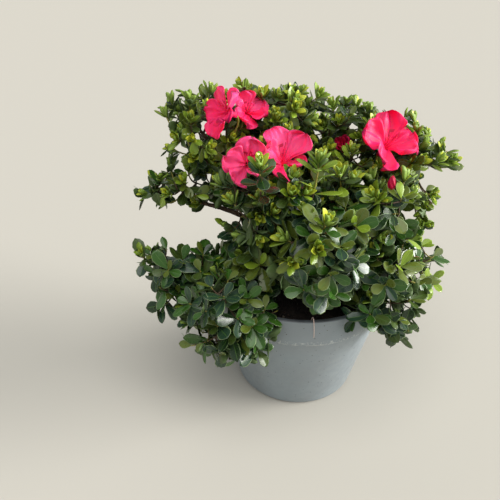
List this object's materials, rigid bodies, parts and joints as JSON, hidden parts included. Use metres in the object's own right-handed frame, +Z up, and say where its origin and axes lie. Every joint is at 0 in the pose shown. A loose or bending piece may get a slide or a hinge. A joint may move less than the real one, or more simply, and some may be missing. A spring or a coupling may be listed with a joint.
{
  "type": "potted azalea shrub",
  "caption": "Dwarf evergreen azalea with small glossy leaves and open blooms, in a tapered round plastic nursery pot with potting soil.",
  "frame": {"origin": "middle of the pot's flat underside", "axes": "+Z up along the pot's axis, -Y towards the shrub's front, +X to the right seen from the front"},
  "size_m": [0.3102, 0.2658, 0.327],
  "materials": {
    "pot_plastic": "matte grey moulded plastic with a soft sheen",
    "potting_soil": "dark crumbly peat",
    "bark": "thin brown bark",
    "foliage": "glossy dark green leaves, yellow-green young tufts and rose-red blooms"
  },
  "bodies": {
    "root": {"pot": "pot_plastic", "soil": "potting_soil", "stem": "bark", "bough_crown_left": "bark", "bough_crown_top": "bark", "bough_crown_right": "bark", "bough_shoulder_right": "bark", "bough_arm_left": "bark", "bough_breast_left": "bark", "bough_breast_right": "bark", "bough_heart_left": "bark", "bough_skirt_front": "bark", "bough_low_left": "bark", "bough_low_left_front": "bark", "bough_low_right": "bark", "bough_skirt_right": "bark", "bough_low_right_front": "bark", "bough_back_left": "bark", "bough_back_middle": "bark", "bough_back_right": "bark", "bough_low_back_left": "bark", "bough_low_back_right": "bark", "foliage_crown_left": "foliage", "foliage_crown_top": "foliage", "foliage_crown_right": "foliage", "foliage_shoulder_right": "foliage", "foliage_arm_left": "foliage", "foliage_breast_left": "foliage", "foliage_breast_right": "foliage", "foliage_heart_left": "foliage", "foliage_skirt_front": "foliage", "foliage_low_left": "foliage", "foliage_low_left_front": "foliage", "foliage_low_right": "foliage", "foliage_skirt_right": "foliage", "foliage_low_right_front": "foliage", "foliage_back_left": "foliage", "foliage_back_middle": "foliage", "foliage_back_right": "foliage", "foliage_low_back_left": "foliage", "foliage_low_back_right": "foliage"}
  },
  "joints": []
}
